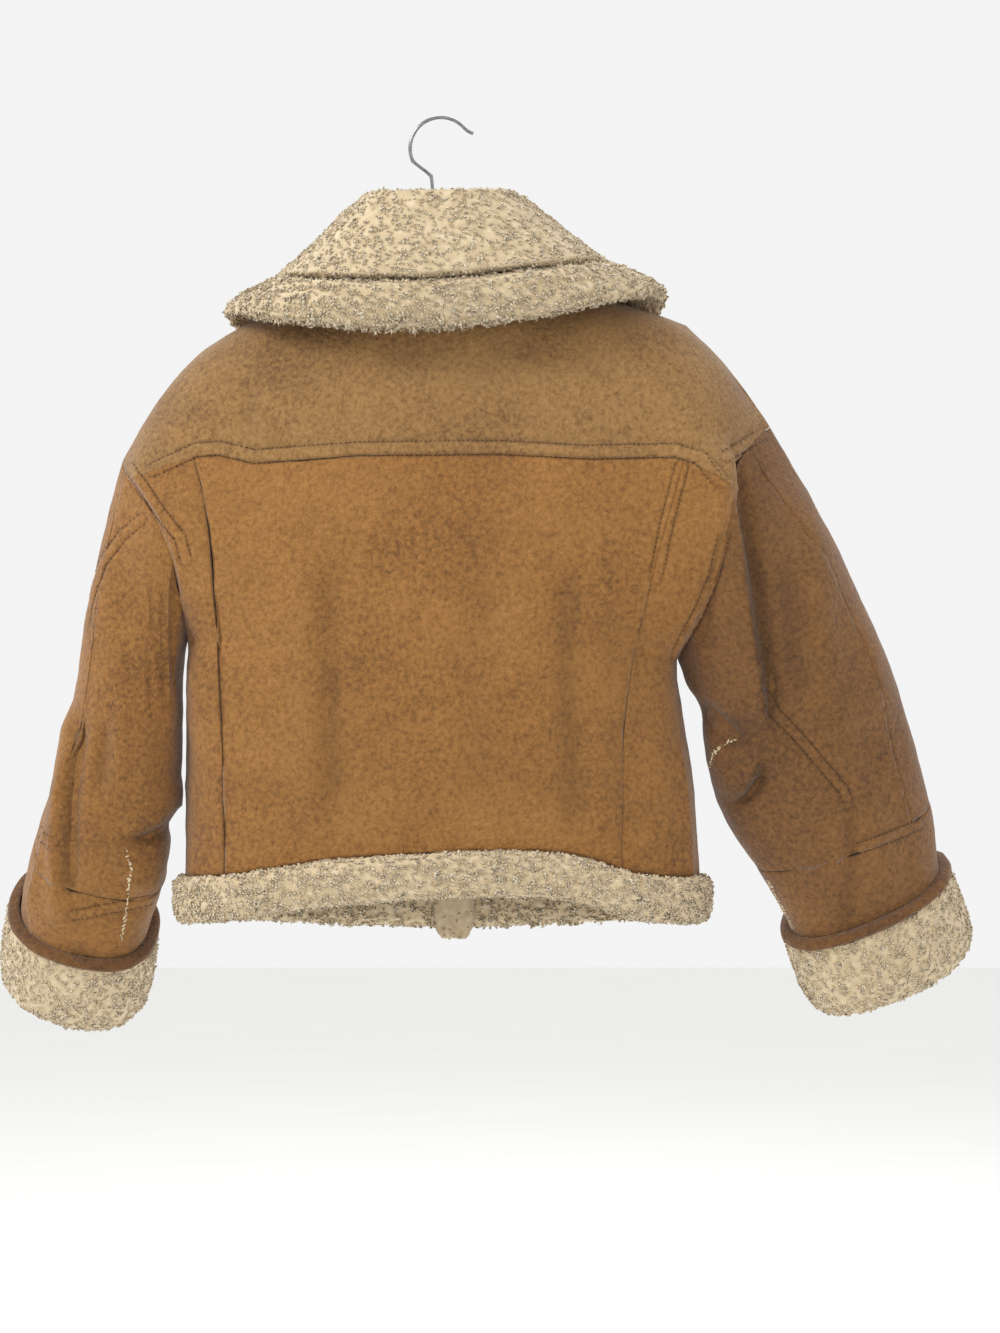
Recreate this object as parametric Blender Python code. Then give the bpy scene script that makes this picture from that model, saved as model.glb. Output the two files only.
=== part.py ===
# Sheepskin flying jacket on a hanger: cropped, drop shoulders, turned cuffs, pile collar and hem.
# The back faces -Y, the front +Y, the wearer's left is -X. The origin is the top of the hook's crook.
# Tables are in millimetres, and every object is made in metres.
import math

import bpy
import numpy as np
from mathutils import Vector
from mathutils.bvhtree import BVHTree

MM = 0.001
SEAM_GAP = 0.3          # between pieces that meet at a seam
WALL = 5.0              # skin with its short wool inside
ZIP_WALL = 2.4
ZIP_SUNK = 1.2          # zip face below the fronts' face
ZIP_X = 9.0             # centre front line
ZIP_HALF = 8.0
ROUND = 2.6             # exponent of the body's section
ARM_ROUND = 2.3         # exponent of a sleeve's section
ROWS_PER_LEVEL = 6      # rows from shoulder to yoke seam, and again to the underarm
SIDE_ROWS = 9           # rows from the underarm to the hem
SIDE_COLUMNS = 3
MIDDLE_COLUMNS = 14
SHOULDER_COLUMNS = 4
NECK_HALF_WIDTH = 90.0
NECK_SIDE_Z = -151.0
NECK_BACK = (60.0, 10.0)      # depth, rise above the neck's sides
NECK_FRONT = (80.0, -64.0)
LOOP = 4 * ROWS_PER_LEVEL     # points around an armhole and a sleeve

# Levels: 0 shoulder line, 1 yoke seam, 2 underarm, 3 hem. Columns: level, x, depth, z
LEFT_EDGE = [
    (0.0, -301.5, 0, -325),
    (0.5, -298, -16, -334),
    (1.0, -291, -32, -345),
    (1.25, -272, -52, -368),
    (1.5, -256, -62, -394),
    (1.75, -244, -58, -436),
    (1.9, -240, -36, -476),
    (2.0, -239, 0, -495),
    (2.5, -241.7, 0, -600),
    (3.0, -241.7, 0, -716),
]
RIGHT_EDGE = [
    (0.0, 312, 0, -292),
    (0.5, 288, -32, -313),
    (1.0, 266, -62, -356),
    (1.25, 262, -69, -387),
    (1.5, 258, -67, -422),
    (1.75, 245, -55, -466),
    (1.9, 230, -35, -496),
    (2.0, 224, 0, -513),
    (2.3, 229, 0, -565),
    (2.6, 239, 0, -622),
    (3.0, 245.5, 0, -716),
]
# Columns: level, x of the left and of the right back-side seam, depth of the back and of the front
SEAMS = [
    (1.0, -227, 224, 84, 80),
    (1.3, -218, 213, 87, 84),
    (1.6, -212, 199, 89, 87),
    (2.0, -207, 181, 90, 88),
    (2.4, -203, 171, 87, 87),
    (3.0, -200, 168, 80, 84),
]
# Columns: x, z of the seam under the yoke band
YOKE_SEAM = [
    (-291, -345), (-270, -339.6), (-247, -332), (-225, -325), (-203, -323.4), (-171, -331.7),
    (-138, -330), (-73, -325), (-8, -322.5), (57, -323.4), (105, -325), (137, -328),
    (186, -326), (219, -328), (241, -337), (266, -356),
]
FRONT_YOKE = [(-291, -345), (-225, -330), (0, -325), (200, -328), (266, -356)]
# Columns: x, z where the leather meets the pile band
HEM_BACK = [
    (-241.7, -716), (-176, -709), (-142, -701.7), (-87, -695), (-39, -691.6), (33, -688),
    (101, -688.7), (124, -691), (145, -697.5), (166, -706), (193, -712), (245.5, -716),
]
HEM_FRONT = [
    (-241.7, -716), (-200, -720), (-90, -727), (9, -730), (110, -727), (200, -720), (245.5, -716),
]
# Columns: column position 0 to 3, x, z along the shoulder line
LEFT_SHOULDER = [(0, -301.5, -325), (0.33, -289, -300), (0.66, -266, -261), (1, -234, -224),
                 (1.14, -171, -187), (1.2857, -90, -151)]
RIGHT_SHOULDER = [(1.714, 90, -151), (1.86, 171, -175), (2, 232, -196), (2.34, 264, -225),
                  (2.67, 292, -260), (3, 312, -292)]

# Columns: place down the arm, outer x, z, inner x, z, centre y, half depth, dip of the near side
LEFT_ARM = [
    (0.00, -301, -325, -239, -495, 0, 58, 0),
    (0.08, -312, -362, -244, -527, 0, 60, 3),
    (0.16, -324, -405, -245, -558, 1, 61, 7),
    (0.25, -332, -447, -246, -590, 3, 61, 11),
    (0.34, -339, -488, -247, -614, 5, 60, 15),
    (0.44, -346, -535, -249, -636, 9, 59, 16),
    (0.54, -355, -574, -254, -655, 15, 58, 19),
    (0.64, -368, -620, -258, -680, 22, 56, 23),
    (0.73, -380, -652, -261, -702, 30, 55, 27),
    (0.82, -391.5, -685, -264.5, -723, 39, 54, 31),
    (0.91, -402, -716, -275, -748, 48, 54, 33),
    (1.00, -408, -742, -284, -771, 56, 54, 35),
]
RIGHT_ARM = [
    (0.00, 312, -292, 224, -513, 0, 62, 0),
    (0.08, 329, -322, 233, -533, 0, 62, 0),
    (0.16, 351, -363, 241, -558, 0, 62, 2),
    (0.25, 373, -402, 246, -579, 1, 61, 4),
    (0.34, 394, -446, 250, -600, 3, 60, 6),
    (0.44, 414, -490, 254, -620, 5, 59, 8),
    (0.54, 432, -536, 259, -642, 9, 58, 10),
    (0.64, 446, -573, 268, -661, 14, 57, 12),
    (0.73, 458, -615, 285, -688, 20, 56, 15),
    (0.82, 467, -649, 300, -709, 27, 55, 18),
    (0.91, 473, -678, 316, -735, 34, 55, 20),
    (1.00, 476, -707, 334, -766, 40, 55, 22),
]
ARM_LEAVES_LOOP = 0.30        # the armhole's own shape fades out by here
ARM_RINGS = 17
LOWER_SLEEVE_FROM = 13        # ring of the seam across the forearm
# Columns: place where it starts and ends, angle at its start and end, height, tail of its soft side
LEFT_FOLDS = [(0.50, 1.00, 0.62, 0.78, 13, 0.9), (0.60, 0.80, 2.25, 2.05, 9, 0.6)]
RIGHT_FOLDS = [(0.02, 0.62, 1.55, 1.35, 15, -0.8), (0.55, 1.00, 1.45, 1.25, 8, 0.7)]

# Columns: neck x y z, fold x y z, crease x y z, edge x y z, half thickness of the fall and of the roll
COLLAR = [
    (-12, 62, -214, -23, 86, -180, -75, 86, -238, -106, 92, -290, 6, 9),
    (-47, 53, -196, -60, 66, -135, -124, 70, -206, -152, 78, -244, 6, 10),
    (-72, 28, -166, -68, 34, -110, -148, 36, -176, -190, 42, -203, 7, 9),
    (-79, 0, -148, -66, -5, -88, -153, -12, -158, -203, -15, -183, 7, 9),
    (-67, -23, -149, -62, -42, -84, -131, -67, -159, -163, -71, -197, 7, 12),
    (-43, -37, -146, -46, -66, -82, -80, -96, -163, -86, -92, -207, 7, 13),
    (2, -50.6, -146, 2, -74, -82, 2, -101, -163, 2, -95, -209, 7, 13),
    (44, -36, -146, 50, -66, -82, 86, -95, -153, 96, -92, -197, 7, 13),
    (67, -23, -148, 63, -42, -84, 138, -67, -146, 176, -72, -178, 7, 12),
    (79, 0, -147, 67, -5, -88, 158, -12, -146, 212, -16, -168, 7, 9),
    (72, 28, -165, 68, 34, -110, 152, 36, -165, 199, 42, -192, 7, 9),
    (47, 53, -196, 60, 66, -135, 126, 70, -202, 156, 78, -240, 6, 10),
    (14, 62, -214, 25, 86, -180, 77, 86, -236, 108, 92, -288, 6, 9),
]
COLLAR_COLUMNS = 30
COLLAR_PATH = 9
COLLAR_CLEARANCE = 0.45       # fall and roll above the yoke
COLLAR_BOW = 0.03             # how far stand and fall bow outwards, of their own width
COLLAR_CREST = 7.0            # rise of the bend just over the fold line
STAND_HALF = 5.0
ROLL_SIDES = 10
ROLL_BELOW_CREASE = 1.8
# Columns: out from the leather's face, up from its lower edge
HEM_SECTION = [
    (-9, -1), (6, 0.6), (11.5, -6), (12.5, -20), (11.5, -34), (6, -42), (-3, -43), (-9, -36), (-11, -20),
]
HEM_BELOW_LEATHER = 0.9       # the band's top edge under the leather's lower edge
HEM_STEPS = 26
# Columns: out from the sleeve, along it past its end ring
CUFF_SECTION = [(0.6, 10), (9, 10), (12, 16), (13, 36), (13, 62), (11, 80), (4, 90), (-4, 90),
                (-8, 84), (-8, 72), (-6, 63), (0.6, 61)]
SLEEVE_IN_CUFF = 60.0         # sleeve wall beyond its end ring
BINDING_SECTION = [(0.6, 1.5), (7, 1), (11, 3), (12, 7), (10, 9.6), (0.6, 9.6)]

WIRE = 1.75
CROOK_RADIUS = 29.5
SHANK_X = -7.6
# Columns: x, z of the wire's bent tip, and of its way from the crook down to the shank
WIRE_TIP = [(30.5, -13.6), (27.3, -12.4)]
WIRE_SHANK = [(-20.5, -45.0), (-14, -49.5), (-9.5, -54.0), (SHANK_X, -61.0)]
BAR_HALF_WIDTH = 192.0
BAR_DEEP = 7.0
BAR_TALL = 9.0
BAR_STEPS = 24
BAR_UNDER_SKIN = 1.5
FLAP_X = 11.0
FLAP_HALF = 20.0
FLAP_ACROSS = (-1, -0.33, 0.33, 1)
FLAP_WALL = 6.0
FLAP_STEPS = 14
FLAP_TOP_LEVEL = 0.42
FLAP_BEHIND = 1.2             # behind the fronts' wool
FLAP_BEHIND_HEM = 4.5         # more than that at the hem
FLAP_BEHIND_NECK = 9.0        # more than that at the shoulder line
FLAP_BEHIND_BAND = 6.8        # behind the wool where the flap hangs inside the pile band
# Columns: drop below the leather's edge, width of the flap's half there
FLAP_TAIL = ((28, 1.0), (44, 0.95), (54, 0.6))
SLIDER_LEVEL = 0.5
SLIDER_PROUD = 1.4
SLIDER_HALF = (5.0, 1.6, 7.0)
PULL_HALF = (4.0, 1.2, 18.0)
PULL_CLEAR = 0.4
PULL_DROP = 16.0

# Columns: colour, roughness, metallic
LEATHER = ((0.36, 0.17, 0.06), 0.8, 0.0)
PILE = ((0.80, 0.68, 0.48), 1.0, 0.0)
BINDING = ((0.22, 0.10, 0.04), 0.75, 0.0)
STEEL = ((0.62, 0.62, 0.62), 0.25, 1.0)
WOOD = ((0.42, 0.27, 0.13), 0.5, 0.0)
TAPE = ((0.10, 0.06, 0.03), 0.7, 0.0)


class Curve:
    """A smooth curve through the rows of a table whose first column is the place along it."""

    def __init__(self, rows):
        table = np.array(rows, float)
        self.at = table[:, 0]
        self.values = table[:, 1:]
        self.slopes = np.gradient(self.values, self.at, axis=0)

    def __call__(self, place):
        place = min(max(place, self.at[0]), self.at[-1])
        low = min(max(int(np.searchsorted(self.at, place, side="right")) - 1, 0), len(self.at) - 2)
        span = self.at[low + 1] - self.at[low]
        t = (place - self.at[low]) / span
        rise = self.values[low + 1] - self.values[low]
        start = self.slopes[low] * span
        end = self.slopes[low + 1] * span
        bend = 3 * rise - 2 * start - end
        twist = start + end - 2 * rise
        return self.values[low] + t * start + t**2 * bend + t**3 * twist


def material(name, look):
    colour, roughness, metallic = look
    made = bpy.data.materials.new(name)
    made.use_nodes = True
    shader = made.node_tree.nodes["Principled BSDF"]
    shader.inputs["Base Color"].default_value = (*colour, 1.0)
    shader.inputs["Roughness"].default_value = roughness
    shader.inputs["Metallic"].default_value = metallic
    made.diffuse_color = (*colour, 1.0)
    return made


def solid(name, points, faces, look):
    """One object from points in millimetres and faces that wind outwards."""
    mesh = bpy.data.meshes.new(name)
    mesh.from_pydata([tuple(np.array(p) * MM) for p in points], [], [tuple(f) for f in faces])
    mesh.validate()
    for face in mesh.polygons:
        face.use_smooth = True
    mesh.materials.append(material(name + "_look", look))
    made = bpy.data.objects.new(name, mesh)
    bpy.context.scene.collection.objects.link(made)
    return made


def unit(vector):
    return vector / max(np.linalg.norm(vector), 1e-9)


def outwards(points, faces):
    """The faces, all turned over if they enclose a negative volume."""
    volume = 0.0
    for face in faces:
        first = points[face[0]]
        for k in range(1, len(face) - 1):
            volume += np.dot(first, np.cross(points[face[k]], points[face[k + 1]]))
    return faces if volume > 0 else [face[::-1] for face in faces]


def slab(lines, width):
    """Faces of a closed sheet: a grid of that many lines and points across, then its other side."""
    count = lines * width
    faces = []
    for j in range(lines - 1):
        for i in range(width - 1):
            face = [j * width + i, (j + 1) * width + i, (j + 1) * width + i + 1, j * width + i + 1]
            faces.append(face)
            faces.append([n + count for n in reversed(face)])
        for i, way in ((0, 1), (width - 1, -1)):
            a, b = j * width + i, (j + 1) * width + i
            faces.append([b, a, a + count, b + count][::way])
    for j, way in ((0, 1), (lines - 1, -1)):
        for i in range(width - 1):
            a, b = j * width + i, j * width + i + 1
            faces.append([a, b, b + count, a + count][::way])
    return faces


left_edge = Curve(LEFT_EDGE)
right_edge = Curve(RIGHT_EDGE)
seams = Curve(SEAMS)
yoke_seam = {"back": Curve(YOKE_SEAM), "front": Curve(FRONT_YOKE)}
hem_line = {"back": Curve(HEM_BACK), "front": Curve(HEM_FRONT)}
left_shoulder = Curve(LEFT_SHOULDER)
right_shoulder = Curve(RIGHT_SHOULDER)


def straight_z(x, left, right):
    return left[2] + (right[2] - left[2]) * (x - left[0]) / (right[0] - left[0])


def section_point(side, column, level):
    """A point of the body from the yoke seam down. Column runs 0 to 3, with the panel seams at 1 and 2."""
    left = left_edge(level)
    right = right_edge(level)
    left_seam, right_seam, back_depth, front_depth = seams(level)
    centre = (left[0] + right[0]) / 2
    half = (right[0] - left[0]) / 2
    seam_turns = [math.asin((x - centre) / half) for x in (left_seam, ZIP_X, right_seam)]
    turn = float(np.interp(column, (0, 1, 1.5, 2, 3), (-math.pi / 2, *seam_turns, math.pi / 2)))
    across = math.sin(turn)
    x = centre + half * across
    edge_depth = abs(left[1]) * (1 - across) / 2 + abs(right[1]) * (1 + across) / 2
    depth = back_depth if side == "back" else front_depth
    bulge = max(0.0, 1 - abs(across) ** ROUND) ** (1 / ROUND)
    y = edge_depth + max(depth - edge_depth, 0) * bulge
    down = (level - 1) / 2
    yoke_lift = yoke_seam[side](x)[0] - straight_z(x, left_edge(1), right_edge(1))
    hem_lift = hem_line[side](x)[0] - straight_z(x, left_edge(3), right_edge(3))
    fade = min(1.0, (1 - abs(across)) * 6)
    lift = yoke_lift * (1 - down) ** 2 + hem_lift * down**2
    z = straight_z(x, left, right) + lift * (1.0 if level in (1, 3) else fade)
    if column in (0, 3):
        z = (left if column == 0 else right)[2]
    return np.array([x, -y if side == "back" else y, z])


def top_point(side, column):
    """A point of the shoulder and neck line."""
    neck_from = 1 + SHOULDER_COLUMNS / MIDDLE_COLUMNS
    neck_to = 2 - SHOULDER_COLUMNS / MIDDLE_COLUMNS
    if column <= neck_from + 1e-6:
        x, z = left_shoulder(column)
        return np.array([x, 0.0, z])
    if column >= neck_to - 1e-6:
        x, z = right_shoulder(column)
        return np.array([x, 0.0, z])
    turn = math.pi * (column - neck_from) / (neck_to - neck_from)
    deep, rise = NECK_BACK if side == "back" else NECK_FRONT
    facing = -1 if side == "back" else 1
    inwards = math.sin(turn)
    x = -NECK_HALF_WIDTH * math.cos(turn)
    return np.array([x, facing * deep * inwards, NECK_SIDE_Z + rise * inwards])


def body_point(side, column, level):
    """A point of the body's outer face, from the shoulder line at level 0 to the hem at level 3."""
    if level >= 1:
        return section_point(side, column, level)
    top = top_point(side, column)
    low = section_point(side, column, 1.0)
    turn = level * math.pi / 2
    mix = np.array([level, math.sin(turn), 1 - math.cos(turn)])
    point = top + (low - top) * mix
    facing = 1 if side == "back" else -1
    for end, edge, near in ((0, left_edge, max(0, 1 - column)), (3, right_edge, max(0, column - 2))):
        if near > 0:
            ends = top_point(side, end)
            formula = ends + (section_point(side, end, 1.0) - ends) * mix
            wanted = edge(level) * np.array([1, facing, 1])
            point = point + (wanted - formula) * near**2
    return point


LEVELS = [row / ROWS_PER_LEVEL for row in range(2 * ROWS_PER_LEVEL)]
LEVELS += [2 + row / SIDE_ROWS for row in range(SIDE_ROWS + 1)]
BACK_COLUMNS = [c / SIDE_COLUMNS for c in range(SIDE_COLUMNS)]
BACK_COLUMNS += [1 + c / MIDDLE_COLUMNS for c in range(MIDDLE_COLUMNS)]
BACK_COLUMNS += [2 + c / SIDE_COLUMNS for c in range(SIDE_COLUMNS + 1)]
MIDDLE = BACK_COLUMNS.index(1.5)
FRONT_COLUMNS = BACK_COLUMNS[:MIDDLE] + ["zip_left", "zip_right"] + BACK_COLUMNS[MIDDLE + 1:]


def front_point(column, level):
    """A point of the fronts. The two columns at the zip stand a fixed width apart."""
    if column not in ("zip_left", "zip_right"):
        return body_point("front", column, level)
    point = body_point("front", 1.5, level)
    point[0] = ZIP_X - ZIP_HALF if column == "zip_left" else ZIP_X + ZIP_HALF
    return point


def arm_frame(arm, place):
    """Centre, outward half width, depth vector towards the back, of one ring of a sleeve."""
    outer_x, outer_z, inner_x, inner_z, y, half_depth, dip = arm(place)
    outer = np.array([outer_x, y, outer_z])
    inner = np.array([inner_x, y, inner_z])
    return (outer + inner) / 2, (outer - inner) / 2, np.array([0, -half_depth, -dip])


def fold_height(folds, place, angle):
    """How far the folds lift a sleeve there: soft on one side, steep on the other."""
    height = 0.0
    for start, end, first, last, high, tail in folds:
        along = (place - start) / (end - start)
        if not 0 < along < 1:
            continue
        off = (angle - (first + (last - first) * along)) * math.copysign(1, tail)
        shape = math.exp(-((off / tail) ** 2)) if off > 0 else max(0.0, 1 + off / 0.2)
        height += high * min(1.0, 5 * along, 5 * (1 - along)) * shape
    return height


def arm_point(arm, folds, edge, place, step):
    """A point of a sleeve's outer face: step 0 is on top, a quarter round is the back."""
    angle = 2 * math.pi * step / LOOP
    centre, wide, deep = arm_frame(arm, place)
    power = 2 / ARM_ROUND
    c = math.copysign(abs(math.cos(angle)) ** power, math.cos(angle))
    s = math.copysign(abs(math.sin(angle)) ** power, math.sin(angle))
    oval = centre + wide * c + deep * s
    oval = oval + unit(oval - centre) * fold_height(folds, place, angle)
    stay = max(0.0, 1 - place / ARM_LEAVES_LOOP)
    stay = stay * stay * (3 - 2 * stay)
    if stay == 0:
        return oval
    level = 2 * min(step, LOOP - step) / (LOOP / 2)
    hole = edge(level) * np.array([1, 1 if step <= LOOP / 2 else -1, 1])
    hole_centre, hole_wide, hole_deep = arm_frame(arm, 0.0)
    away = hole - hole_centre
    moved = centre + away + (wide - hole_wide) * c + (deep - hole_deep) * s
    return oval + (moved - oval) * stay


class Skin:
    """The jacket's outer face as one welded net of named panels, each then thickened into a piece."""

    def __init__(self):
        self.points = []
        self.found = {}
        self.faces = []
        self.panels = []

    def point(self, place):
        key = tuple(np.round(place, 2))
        if key not in self.found:
            self.found[key] = len(self.points)
            self.points.append(np.array(place, float))
        return self.found[key]

    def grid(self, rows, name_of, flip):
        for j in range(len(rows) - 1):
            for i in range(len(rows[0]) - 1):
                face = [rows[j][i], rows[j + 1][i], rows[j + 1][i + 1], rows[j][i + 1]]
                face = [n for k, n in enumerate(face) if n != face[k - 1]]
                self.faces.append(face[::-1] if flip else face)
                self.panels.append(name_of(i, j))

    def normals(self):
        normals = np.zeros((len(self.points), 3))
        for face in self.faces:
            corners = [self.points[n] for n in face]
            area = np.cross(corners[2] - corners[0], corners[-1] - corners[1])
            for n in face:
                normals[n] += area
        return np.array([unit(n) for n in normals])

    def piece(self, name, look, wall, sunk, normals):
        """The closed solid of one panel, drawn back from its seams by half the gap."""
        faces = [f for f, panel in zip(self.faces, self.panels) if panel == name]
        edges = {}
        for face in faces:
            for k, n in enumerate(face):
                edges[(face[k - 1], n)] = face
        rim = {e: f for e, f in edges.items() if (e[1], e[0]) not in edges}
        used = sorted({n for face in faces for n in face})
        number = {n: k for k, n in enumerate(used)}
        pull = {n: np.zeros(3) for n in used}
        for (a, b), face in rim.items():
            middle = sum(self.points[n] for n in face) / len(face)
            along = unit(self.points[b] - self.points[a])
            inward = middle - self.points[a]
            inward = unit(inward - along * inward.dot(along))
            for n in (a, b):
                pull[n] += inward
        outer = []
        for n in used:
            shift = pull[n]
            if shift.any():
                shift = unit(shift) * SEAM_GAP * (0.55 if np.linalg.norm(shift) > 1.6 else 0.8)
            outer.append(self.points[n] + shift - normals[n] * sunk)
        inner = [p - normals[n] * wall for p, n in zip(outer, used)]
        count = len(used)
        built = [[number[n] for n in face] for face in faces]
        built += [[number[n] + count for n in reversed(face)] for face in faces]
        for a, b in rim:
            quad = [number[b], number[a], number[a] + count, number[b] + count]
            if a > b:
                built += [[quad[0], quad[1], quad[2]], [quad[0], quad[2], quad[3]]]
            else:
                built += [[quad[1], quad[2], quad[3]], [quad[1], quad[3], quad[0]]]
        return solid(name, outer + inner, built, look)


def torso_skin(skin):
    def back_name(i, j):
        if j < ROWS_PER_LEVEL:
            return "back_yoke"
        if i < SIDE_COLUMNS:
            return "back_side_left"
        return "back_panel" if i < SIDE_COLUMNS + MIDDLE_COLUMNS else "back_side_right"

    def front_name(i, j):
        if i < MIDDLE:
            return "front_left"
        return "zip" if i == MIDDLE else "front_right"

    rows = [[skin.point(body_point("back", c, level)) for c in BACK_COLUMNS] for level in LEVELS]
    skin.grid(rows, back_name, False)
    rows = [[skin.point(front_point(c, level)) for c in FRONT_COLUMNS] for level in LEVELS]
    skin.grid(rows, front_name, True)


def sleeve_skin(skin, side, arm, folds, edge):
    flip = side == "left"

    def name_of(i, j):
        if j >= LOWER_SLEEVE_FROM:
            return f"sleeve_lower_{side}"
        under = 3 <= i < 15
        return f"sleeve_under_{side}" if under else f"sleeve_top_{side}"

    rows = []
    for ring in range(ARM_RINGS):
        place = ring / (ARM_RINGS - 1)
        row = [skin.point(arm_point(arm, folds, edge, place, step)) for step in range(LOOP)]
        rows.append(row + row[:1])
    down = end_direction(arm)
    last = [skin.point(skin.points[n] + down * SLEEVE_IN_CUFF) for n in rows[-1][:-1]]
    rows.append(last + last[:1])
    skin.grid(rows, name_of, not flip)


def end_direction(arm):
    """The way the sleeve's end points, square to its last ring."""
    centre, wide, deep = arm_frame(arm, 1.0)
    down = unit(np.cross(wide, deep))
    return down if down[2] < 0 else -down


def swept(name, frames, section, look, closed):
    """A solid swept along frames of (point, outward, along), each section point being (out, along)."""
    points = []
    for place, outward, along in frames:
        points += [place + outward * out + along * down for out, down in section]
    size = len(section)
    count = len(frames)
    faces = []
    for j in range(count if closed else count - 1):
        for i in range(size):
            k = (j + 1) % count
            faces.append([j * size + i, k * size + i, k * size + (i + 1) % size, j * size + (i + 1) % size])
    if not closed:
        faces.append([i for i in range(size)])
        faces.append([(count - 1) * size + i for i in reversed(range(size))])
    return solid(name, points, outwards(points, faces), look)


def cuff(side, arm, folds, edge):
    """The turned-back pile cuff and the leather that binds its free edge."""
    centre = arm_frame(arm, 1.0)[0]
    down = end_direction(arm)
    ring = [arm_point(arm, folds, edge, 1.0, step) for step in range(LOOP)]
    frames = []
    for step, place in enumerate(ring):
        tangent = ring[(step + 1) % LOOP] - ring[step - 1]
        outward = unit(np.cross(tangent, down))
        if outward.dot(place - centre) < 0:
            outward = -outward
        frames.append((place, outward, down))
    swept(f"cuff_{side}", frames, CUFF_SECTION, PILE, True)
    swept(f"cuff_binding_{side}", frames, BINDING_SECTION, BINDING, True)


def hem_frames(side, first, last, steps):
    frames = []
    for step in range(steps + 1):
        column = first + (last - first) * step / steps
        here = body_point(side, column, 3.0)
        ahead = body_point(side, min(column + 0.02, 3.0), 3.0)
        behind = body_point(side, max(column - 0.02, 0.0), 3.0)
        tangent = (ahead - behind) * np.array([1, 1, 0])
        outward = unit(np.cross(tangent, np.array([0, 0, 1.0])))
        if outward[1] * (-1 if side == "back" else 1) < 0:
            outward = -outward
        if column in (0, 3):
            outward = np.array([-1.0 if column == 0 else 1.0, 0, 0])
        frames.append((here, outward, np.array([0, 0, 1.0])))
    return frames


def set_back(frames, gap):
    """The same frames with both ends drawn in by half the gap."""
    for end, beside in ((0, 1), (-1, -2)):
        place, outward, along = frames[end]
        step = unit(frames[beside][0] - place)
        frames[end] = (place + step * gap / 2, outward, along)
    return frames


def hem():
    """The pile band below the leather: one piece at the back and one on each front."""
    section = [(out, down - HEM_BELOW_LEATHER) for out, down in HEM_SECTION]
    for name, side, first, last in (
        ("hem_back", "back", 0, 3),
        ("hem_front_left", "front", 0, 1.5),
        ("hem_front_right", "front", 1.5, 3),
    ):
        steps = round(HEM_STEPS * (last - first) / 3)
        swept(name, set_back(hem_frames(side, first, last, steps), SEAM_GAP), section, PILE, False)


def clear_of(body, place, needed):
    """The place, moved out to stand at least that far from the body's outer face."""
    near, normal = body.find_nearest(Vector(place))[:2]
    away = (Vector(place) - near).dot(normal)
    return place if away >= needed else place + np.array(normal) * (needed - away)


def collar(body):
    """The stand and fall, bent over at the fold line, and the thick roll below the crease."""
    table = Curve([(row, *values) for row, values in enumerate(COLLAR)])
    stations = [table(k * (len(COLLAR) - 1) / COLLAR_COLUMNS) for k in range(COLLAR_COLUMNS + 1)]
    middle = []
    halves = []
    for row in stations:
        neck, fold, crease, edge = row[:3], row[3:6], row[6:9], row[9:12]
        stand = neck + (fold - neck) * 0.6 - (crease - neck) * COLLAR_BOW
        over = fold + (crease - fold) * 0.22 + np.array([0, 0, COLLAR_CREST])
        fall = fold + (crease - fold) * 0.6 - (neck - edge) * COLLAR_BOW
        path = Curve([(0, *neck), (1, *stand), (2, *fold), (3, *over), (4, *fall), (5, *crease)])
        line = [path(5 * k / (COLLAR_PATH - 1)) for k in range(COLLAR_PATH)]
        half = [STAND_HALF + (row[12] - STAND_HALF) * min(1, k / 4) for k in range(COLLAR_PATH)]
        over_body = range(COLLAR_PATH // 2 + 1, COLLAR_PATH)
        for k in over_body:
            line[k] = clear_of(body, line[k], half[k] + COLLAR_CLEARANCE)
        middle.append(line)
        halves.append(half)
    points = []
    for side in (1, -1):
        for i, column in enumerate(middle):
            for k, place in enumerate(column):
                along = column[min(k + 1, COLLAR_PATH - 1)] - column[max(k - 1, 0)]
                across = middle[min(i + 1, COLLAR_COLUMNS)][k] - middle[max(i - 1, 0)][k]
                outward = unit(np.cross(across, along))
                points.append(place - outward * side * halves[i][k])
    faces = slab(COLLAR_COLUMNS + 1, COLLAR_PATH)
    solid("collar_body", points, outwards(points, faces), PILE)
    frames = []
    for i, row in enumerate(stations):
        crease, edge, thick = row[6:9], row[9:12], row[13]
        down = unit(edge - crease)
        across = stations[min(i + 1, COLLAR_COLUMNS)][9:12] - stations[max(i - 1, 0)][9:12]
        outward = unit(np.cross(across, down))
        if outward[1] * (crease[1] if abs(crease[1]) > 15 else 0) + outward[2] < 0:
            outward = -outward
        half = np.linalg.norm(edge - crease) / 2
        start = clear_of(body, crease + down * (half + ROLL_BELOW_CREASE), thick + COLLAR_CLEARANCE)
        frames.append((start, outward * thick, down * half))
    section = []
    for k in range(ROLL_SIDES):
        turn = 2 * math.pi * (k + 0.5) / ROLL_SIDES
        c, s = math.cos(turn), math.sin(turn)
        section.append((math.copysign(abs(c) ** 0.8, c), math.copysign(min(1.0, abs(s) ** 0.8 * 1.02), s)))
    swept("collar_edge", frames, section, PILE, False)


def tube(name, path, wide, tall, sides, look):
    """A closed tube along a path in the XZ plane, wide across it and tall along Y."""
    frames = []
    for i, place in enumerate(path):
        along = unit(path[min(i + 1, len(path) - 1)] - path[max(i - 1, 0)])
        outward = unit(np.cross(along, np.array([0, 1.0, 0])))
        frames.append((place, outward * wide, np.array([0, tall, 0])))
    section = [(math.cos(2 * math.pi * k / sides), math.sin(2 * math.pi * k / sides)) for k in range(sides)]
    return swept(name, frames, section, look, False)


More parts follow.
